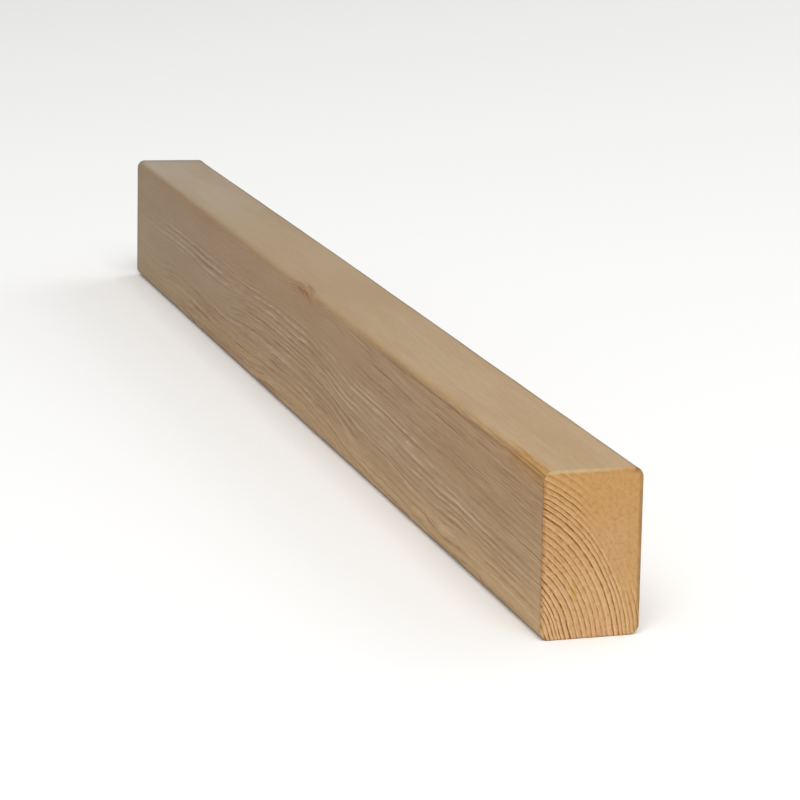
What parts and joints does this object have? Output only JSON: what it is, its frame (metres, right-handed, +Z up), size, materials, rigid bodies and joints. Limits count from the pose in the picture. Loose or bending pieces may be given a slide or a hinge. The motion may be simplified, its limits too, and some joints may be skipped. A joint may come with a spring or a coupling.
{
  "type": "timber lumber plank",
  "caption": "Planed softwood stud of rectangular section with rounded long edges and square sawn ends, lying on a narrow face.",
  "frame": {"origin": "middle of the narrow face that the stud lies on, half way along its length", "axes": "+X along the length towards the near end of the picture, +Y across the thickness away from the visible wide face, +Z up"},
  "size_m": [0.68, 0.038, 0.063],
  "materials": {
    "planed_softwood": "bare planed softwood: plain beige narrow faces, fine lengthwise grain on the wide faces, growth rings on the sawn ends"
  },
  "bodies": {
    "root": {"timber_plank": "planed_softwood"}
  },
  "joints": []
}
